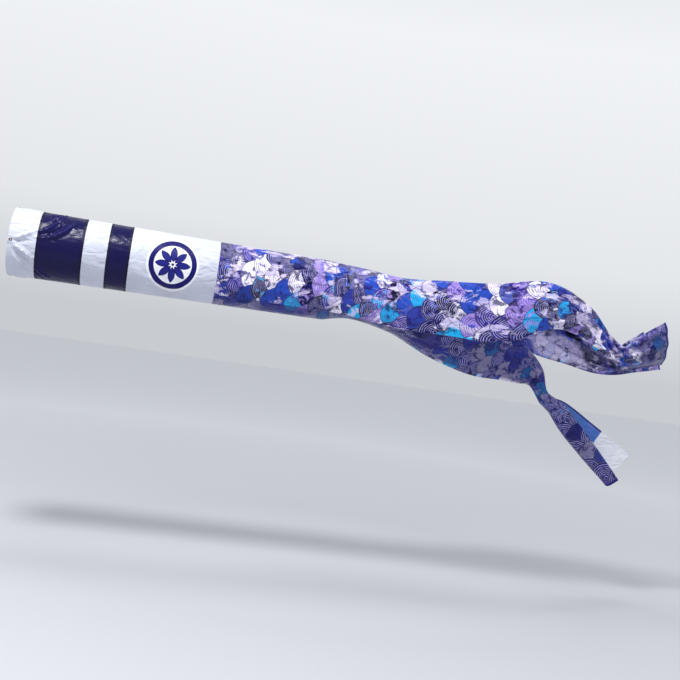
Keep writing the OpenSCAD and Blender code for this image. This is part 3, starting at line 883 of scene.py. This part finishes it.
for side, angle in SIDES:
    half_w = TAB_HALF_W / MOUTH_R
    xs = np.linspace(*TAB_X, 9)
    a = math.radians(angle) + np.linspace(-half_w, half_w, 9)
    r = tube_r(xs) + TAB_OUT
    base = round_points(np.repeat(xs[:, None], 9, 1), r[:, None], a)
    out = base / np.linalg.norm(base * [0, 1, 1], axis=-1, keepdims=True) * [0, 1, 1]
    flat = np.stack([np.repeat(xs[:, None], 9, 1), np.repeat(a[None] * MOUTH_R, 9, 0)], -1)
    tab = solid("tie_tab_%s_webbing" % side, base, base - out * TAB_THICK, flat, False, [belt])
    cut_holes(tab, TAB_HOLE)
    place(tab, ["tie_tab_" + side], "mouth")


# ---- tube ----


def flex(piece):
    """Bakes a piece's placement into its own mesh."""
    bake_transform(piece)


BANDS = (("white_band_1", HEM_END, NAVY_1, "white"), ("navy_band_1", NAVY_1, WHITE_2, "navy"),
         ("white_band_2", WHITE_2, NAVY_2, "white"), ("navy_band_2", NAVY_2, PANEL, "navy"),
         ("crest_panel", PANEL, PRINT, "white"))
for n, lo, hi, dye in ((1, NAVY_1, NAVY_1 + TAPE_W, "navy"), (2, WHITE_2 - TAPE_W, WHITE_2, "navy"),
                       (3, NAVY_2, NAVY_2 + TAPE_W, "navy"), (4, PANEL - TAPE_W, PANEL, "navy"),
                       (5, PRINT - 0.012, PRINT, "pale")):
    strip = cloth("seam_tape_%d_cloth" % n, TUBE, np.linspace(lo, hi, 4), TUBE.across, TAPE,
                  [SATIN[dye + "_tape"]], lift=GAP + TAPE, wrap=True)
    place(strip, ["seam_tape_%d" % n], "front_tube")

fell_across = -90 + np.degrees(np.linspace(-0.006, 0.006, 4) / SLIT_R)
for name, lo, hi in (("bottom_seam_front", NAVY_1, PRINT), ("bottom_seam_rear", PRINT, SLIT)):
    fell = cloth(name + "_fell", TUBE, stretch(TUBE, lo, hi), fell_across, TRIM,
                 [SATIN["white_reverse"]], lift=-TUBE_CLOTH - GAP)
    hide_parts(name)
    if lo < PRINT:
        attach(fell, "front_tube")
    else:
        flex(fell)

PATCH_R = 0.279
RING_R = (0.200, 0.253)
ON_PATCH = 0.0012               # how high the ring and the petals lie over the panel
# Two sets of petals, one on the other: reach in and out, half-width, height, thickness and cloth.
PETALS = ((0.026, 0.190, 0.037, ON_PATCH, 0.0006, "crest_navy"),
          (0.040, 0.177, 0.029, 0.0018, 0.0005, "crest_blue"))
for side in ("near", "far"):
    patch = side_patch("crest_patch_%s_cloth" % side, side, *round_grid(0.002, PATCH_R, 22, 96),
                       0.0003, TRIM, True, [SATIN["crest_patch_satin"]])
    ring = side_patch("crest_ring_%s_cloth" % side, side, *round_grid(*RING_R, 7, 96),
                      ON_PATCH, TRIM, True, [SATIN["crest_navy"]])
    edged = [side_patch("petal", side, *petal_grid(math.radians(45 * i), *size), lift, thick, False,
                        [SATIN[dye]])
             for *size, lift, thick, dye in PETALS for i in range(8)]
    edged.append(side_patch("dot", side, *round_grid(0.001, 0.014, 4, 32), ON_PATCH, TRIM, True,
                            [SATIN["crest_navy"]]))
    petals = join("crest_petals_%s_cloth" % side, edged)
    for piece, node, slot_name in ((patch, "crest_patch_" + side, "crest_white"),
                                   (ring, "crest_ring_" + side, "crest_navy"),
                                   (petals, "crest_petals_" + side, "crest_navy")):
        place(piece, [node], "front_tube")

for name, lo, hi, dye in BANDS:
    band = cloth(name + "_cloth", TUBE, stretch(TUBE, lo, hi), TUBE.across, TUBE_CLOTH,
                 [SATIN[dye + "_satin"], SATIN[dye + "_reverse"]], wrap=True)
    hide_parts(name)
    if name == "white_band_1":
        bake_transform(band)
    else:
        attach(band, "front_tube")

sleeve = cloth("print_sleeve_cloth", TUBE, stretch(TUBE, PRINT, SLIT), TUBE.across, TUBE_CLOTH,
               [printed, reverse], wrap=True)
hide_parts("print_sleeve_front", "print_sleeve")
flex(sleeve)

SLIT_PATCH = (3.318, 3.388, 0.022)  # from, to and half-width of the patch at the head of a slit
for side, angle in SLITS:
    half = math.degrees(SLIT_PATCH[2] / SLIT_R)
    patch = cloth("slit_patch_%s_cloth" % side, TUBE, np.linspace(*SLIT_PATCH[:2], 7),
                  angle + np.linspace(-half, half, 7), TAPE, [SATIN["hem_satin"]], lift=0.001)
    place(patch, ["slit_patch_" + side], "rear_tube")


# ---- stitches ----

def stitch_tree():
    """Nodes that lay one short thread after another along every seam line of a mesh."""
    tree = bpy.data.node_groups.new("stitches", "GeometryNodeTree")
    face = tree.interface
    face.new_socket("Geometry", in_out="INPUT", socket_type="NodeSocketGeometry")
    for label, kind in (("Stitch pitch", "NodeSocketFloat"), ("Stitch length", "NodeSocketFloat"),
                        ("Thread radius", "NodeSocketFloat"), ("Thread", "NodeSocketMaterial")):
        face.new_socket(label, in_out="INPUT", socket_type=kind)
    face.new_socket("Geometry", in_out="OUTPUT", socket_type="NodeSocketGeometry")

    node = Nodes(tree).node
    given = node("NodeGroupInput").outputs
    line = node("GeometryNodeMeshToCurve", {"Mesh": given["Geometry"]}).outputs["Curve"]
    spaced = node("GeometryNodeResampleCurve", {"Curve": line, "Length": given["Stitch pitch"]},
                  mode="LENGTH").outputs["Curve"]
    thread = node("GeometryNodeMeshCylinder", {"Vertices": 5, "Depth": given["Stitch length"],
                                               "Radius": given["Thread radius"]},
                  fill_type="TRIANGLE_FAN").outputs["Mesh"]
    along = node("GeometryNodeInputTangent").outputs["Tangent"]
    turn = node("FunctionNodeAlignRotationToVector", {"Vector": along}, axis="Z").outputs["Rotation"]
    uneven = node("FunctionNodeRandomValue", data_type="FLOAT")
    lengths = {i.name: i for i in uneven.inputs if i.enabled}
    lengths["Min"].default_value = 0.86
    lengths["Max"].default_value = 1.08
    lengths["Seed"].default_value = 7
    scale = [o for o in uneven.outputs if o.enabled][0]
    sewn = node("GeometryNodeInstanceOnPoints", {"Points": spaced, "Instance": thread, "Rotation": turn,
                                                 "Scale": scale}).outputs["Instances"]
    real = node("GeometryNodeRealizeInstances", {"Geometry": sewn}).outputs["Geometry"]
    dyed = node("GeometryNodeSetMaterial", {"Geometry": real, "Material": given["Thread"]})
    node("NodeGroupOutput", {"Geometry": dyed.outputs["Geometry"]})
    return tree


STITCHES = stitch_tree()
THREAD_R = 0.0004


def sew(name, lines, thread, pitch=0.0056, length=0.0040):
    """One piece with the stitches along some lines, each a row of points."""
    points, edges = [], []
    for line in lines:
        line = np.asarray(line)
        first = len(points)
        points += line.tolist()
        edges += [(first + i, first + i + 1) for i in range(len(line) - 1)]
    piece = put_in_scene(name, new_mesh(name, points, [], edges))
    sewing = piece.modifiers.new("sewing", "NODES")
    sewing.node_group = STITCHES
    wanted = {"Stitch pitch": pitch, "Stitch length": length, "Thread radius": THREAD_R,
              "Thread": SATIN[thread + "_thread"]}
    for item in STITCHES.interface.items_tree:
        if item.in_out == "INPUT" and item.name in wanted:
            sewing[item.identifier] = wanted[item.name]
    bpy.context.view_layer.update()
    bake(piece)
    smooth(piece.data, math.radians(50))
    return piece


ROUND = np.linspace(-135, 225, 289)


def round_line(x):
    """Round the tube, on a tape."""
    return TUBE.at(np.full(len(ROUND), x), ROUND, TAPE + 2 * GAP)


def circle_line(side, radius, lift):
    t = np.linspace(0, 2 * math.pi, 181)
    x, angle = place_on_side(side, radius * np.sin(t), radius * np.cos(t))
    return TUBE.at(x, angle, lift)


def tab_line(angle):
    """Round the edge of a tie tab."""
    lo, hi, half_w = TAB_SEAM
    w = math.degrees(half_w / MOUTH_R)
    corners = [(lo, -w), (hi, -w), (hi, w), (lo, w), (lo, -w)]
    line = []
    for (x0, a0), (x1, a1) in zip(corners, corners[1:]):
        line += [(x0 + (x1 - x0) * t, angle + a0 + (a1 - a0) * t) for t in np.linspace(0, 1, 8)[:-1]]
    line.append(line[0])
    x, a = np.array(line).T
    return round_points(x, tube_r(x) + TAB_OUT + GAP, np.radians(a))


hem_lines = [round_points(np.full(len(ROUND), x), MOUTH_R + GAP, np.radians(ROUND))
             for x in (0.0435, 0.0475)]
seams = [(sew("mouth_hem_stitches", hem_lines, "white"), "mouth", "white_satin"),
         (sew("tie_tab_stitches", [tab_line(a) for a in (0, 90, 180, 270)], "white", pitch=0.004,
              length=0.0028), "mouth", "navy_webbing")]
tape_edges = [(NAVY_1, 1), (WHITE_2, -1), (NAVY_2, 1), (PANEL, -1)]
tape_lines = [round_line(x + way * inset) for x, way in tape_edges for inset in (0.003, TAPE_W - 0.003)]
tape_lines += [round_line(PRINT - inset) for inset in (0.002, 0.010)]
seams.append((sew("seam_tape_stitches", tape_lines, "navy"), "front_tube", "navy_satin"))
crest_lines = [circle_line(side, r, lift) for side in ("near", "far")
               for r, lift in ((PATCH_R - 0.005, 0.0011 + GAP), (RING_R[1] - 0.005, 0.0020 + GAP),
                               (RING_R[0] + 0.010, 0.0020 + GAP))]
seams.append((sew("crest_stitches", crest_lines, "navy"), "front_tube", "crest_navy"))
fell_lines = {part: [TUBE.at(stretch(TUBE, lo, hi), np.full(len(stretch(TUBE, lo, hi)), -90 + a), GAP)
                     for a in (-0.75, 0.75)]
              for part, lo, hi in (("front", NAVY_1, PRINT), ("rear", PRINT, SLIT))}
seams.append((sew("bottom_seam_stitches", fell_lines["front"], "white"), "front_tube", "white_satin"))
rear_fell = sew("print_sleeve_stitches", fell_lines["rear"], "navy")
flex(rear_fell)
tack_x = np.linspace(SLIT_PATCH[0] + 0.004, SLIT_PATCH[1] - 0.004, 9)
tacks = [TUBE.at(tack_x, np.full(9, angle + a), 0.0017 + GAP) for side, angle in SLITS
         for a in (-3.2, -1.6, 0, 1.6, 3.2)]
seams.append((sew("slit_patch_stitches", tacks, "white", pitch=0.0045, length=0.0032),
              "rear_tube", "navy_satin"))
for piece, body, slot_name in seams:
    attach(piece, body)


# ---- tails ----

SHOULDER = 0.118                # share of a tail's path where its shoulder piece ends
HEM_SHARE = 0.055               # a side hem's width, as a share of half the tail's
FACING_SHARE = 0.075
FACING_END = 0.9998             # the facing stops just short of the tail's end and of its edges
FACING_OUT = 0.9995
END_HEM_SHARE = 0.006
HEM_OUT = 0.999                 # place of the hems' outer edges, just inside the cloth's own

for tail in TAILS:
    skin = TAIL[tail]

    def swing(piece, stretch_name):
        """Bakes a piece of the tail's placement into its own mesh, on either stretch."""
        if stretch_name == "shoulder":
            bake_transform(piece)
        else:
            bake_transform(piece)

    for part, lo, hi, node in (("shoulder", 0.0, SHOULDER, "root"), ("streamer", SHOULDER, 1.0, "tip")):
        along = stretch(skin, lo, hi)
        sheet = cloth("%s_tail_%s" % (tail, part), skin, along, skin.across, TAIL_CLOTH, [printed, reverse])
        edges = [cloth("hem", skin, along, np.linspace(e - HEM_SHARE / 2, e + HEM_SHARE / 2, 4), TRIM,
                       [SATIN["hem_satin"]], lift=-TAIL_CLOTH - GAP)
                 for e in (HEM_SHARE / 2 - HEM_OUT, HEM_OUT - HEM_SHARE / 2)]
        hems = join("%s_tail_%s_hems" % (tail, part), edges)
        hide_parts("%s_tail_%s" % (tail, node))
        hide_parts("%s_tail_%s_hems" % (tail, node))
        swing(sheet, part)
        swing(hems, part)
        on_it = [hems]
        if part == "streamer":
            facing = cloth(tail + "_tail_end_facing", skin, stretch(skin, 1 - FACING_SHARE, FACING_END),
                           np.linspace(-FACING_OUT, FACING_OUT, 41), TRIM, [SATIN["white_facing"]],
                           lift=-TAIL_CLOTH - 0.0010)
            end = cloth(tail + "_tail_end_hem_cloth", skin, np.linspace(1 - END_HEM_SHARE, 1, 3),
                        np.linspace(-1, 1, 49), TRIM, [SATIN["hem_satin"]], lift=TRIM + GAP)
            place(facing, [tail + "_tail_facing"], tail + "_tail_end")
            place(end, [tail + "_tail_end_hem"], tail + "_tail_end")
            on_it += [facing, end]

    for part, lo, hi in (("shoulder", 0.0, SHOULDER), ("streamer", SHOULDER, 1.0)):
        along = stretch(skin, lo, hi)
        rows = [skin.at(along, np.full(len(along), v), GAP)
                for v in (HEM_SHARE - HEM_OUT, HEM_OUT - HEM_SHARE)]
        if part == "streamer":
            across = np.linspace(-0.93, 0.93, 60)
            rows += [skin.at(np.full(60, u), across, GAP)
                     for u in (1 - FACING_SHARE, 1 - 1.2 * END_HEM_SHARE)]
        thread = sew("%s_tail_%s_stitches" % (tail, part), rows, "navy", pitch=0.0066, length=0.0046)
        swing(thread, part)


# ---- camera, floor and light ----

EYE = Vector((1.635, -11.071, -0.53))
AHEAD = Vector((0.1788, 0.9839, 0.0))
RIGHT = Vector((0.9733, -0.1769, 0.1461))
UP = Vector((-0.1437, 0.0261, 0.9893))
camera = put_in_scene("camera", bpy.data.cameras.new("camera"))
bpy.context.scene.camera = camera
camera.data.sensor_width = 36
camera.data.lens = 52.94
camera.data.clip_end = 200
axes = Matrix((RIGHT, UP, -AHEAD)).transposed().to_4x4()
camera.matrix_world = Matrix.Translation(EYE) @ axes

FLOOR_Z = -3.2
FLOOR_REACH = 60
# The pale backdrop: its shade at heights from level with the eye to overhead.
SKY = [(0.0, (0.58, 0.60, 0.63, 1)), (0.10, (0.78, 0.80, 0.83, 1)), (0.30, (0.88, 0.90, 0.93, 1)),
       (0.45, (0.74, 0.76, 0.79, 1)), (0.75, (0.50, 0.52, 0.57, 1))]
corners = [(x * FLOOR_REACH, y * FLOOR_REACH, FLOOR_Z) for x, y in ((-1, -1), (1, -1), (1, 1), (-1, 1))]
floor = put_in_scene("floor", new_mesh("floor", corners, [(0, 1, 2, 3)]))
ground = Finish("pale_floor_painted_shade")
# Painted shade: the floor is coloured darker round the spot below the streamer and under its lamps, and
# paler far off, evening out how the lamps light it.
away = ground.span(ground.away(ground.body(), (4.0, 1.0, FLOOR_Z)), 3.0, 16.0)
mottled = ground.times(ground.noise(ground.body(), 0.3), 0.06)
ground.put(ground.shader.inputs["Base Color"],
           ground.ramp(ground.plus(away, mottled),
                       [(0.05, (0.52, 0.53, 0.55, 1)), (0.9, (0.86, 0.87, 0.89, 1))]))
ground.shader.inputs["Roughness"].default_value = 0.9
floor.data.materials.append(ground.material)

world = bpy.context.scene.world or bpy.data.worlds.new("sky")
bpy.context.scene.world = world
world.use_nodes = True
sky = Nodes(world.node_tree)
glow = sky.tree.nodes["Background"]
glow.inputs["Strength"].default_value = 1.0
toward = sky.node("ShaderNodeTexCoord").outputs["Generated"]
sky.put(glow.inputs["Color"], sky.ramp(sky.apart(toward)[2], SKY))
bpy.context.scene.view_settings.view_transform = "Standard"


def lamp(name, at, aim, size, power):
    light = put_in_scene(name, bpy.data.lights.new(name, "AREA"))
    light.data.shape = "DISK"
    light.data.size = size
    light.data.energy = power
    light.location = at
    light.rotation_euler = (Vector(aim) - Vector(at)).to_track_quat("-Z", "Y").to_euler()


lamp("key", (-1.0, -5.0, 8.5), (3.5, 0, 0), size=2.4, power=1050)
lamp("top", (6.0, 1.5, 8.0), (4.5, 0, 0), size=3.0, power=260)

bpy.context.view_layer.update()
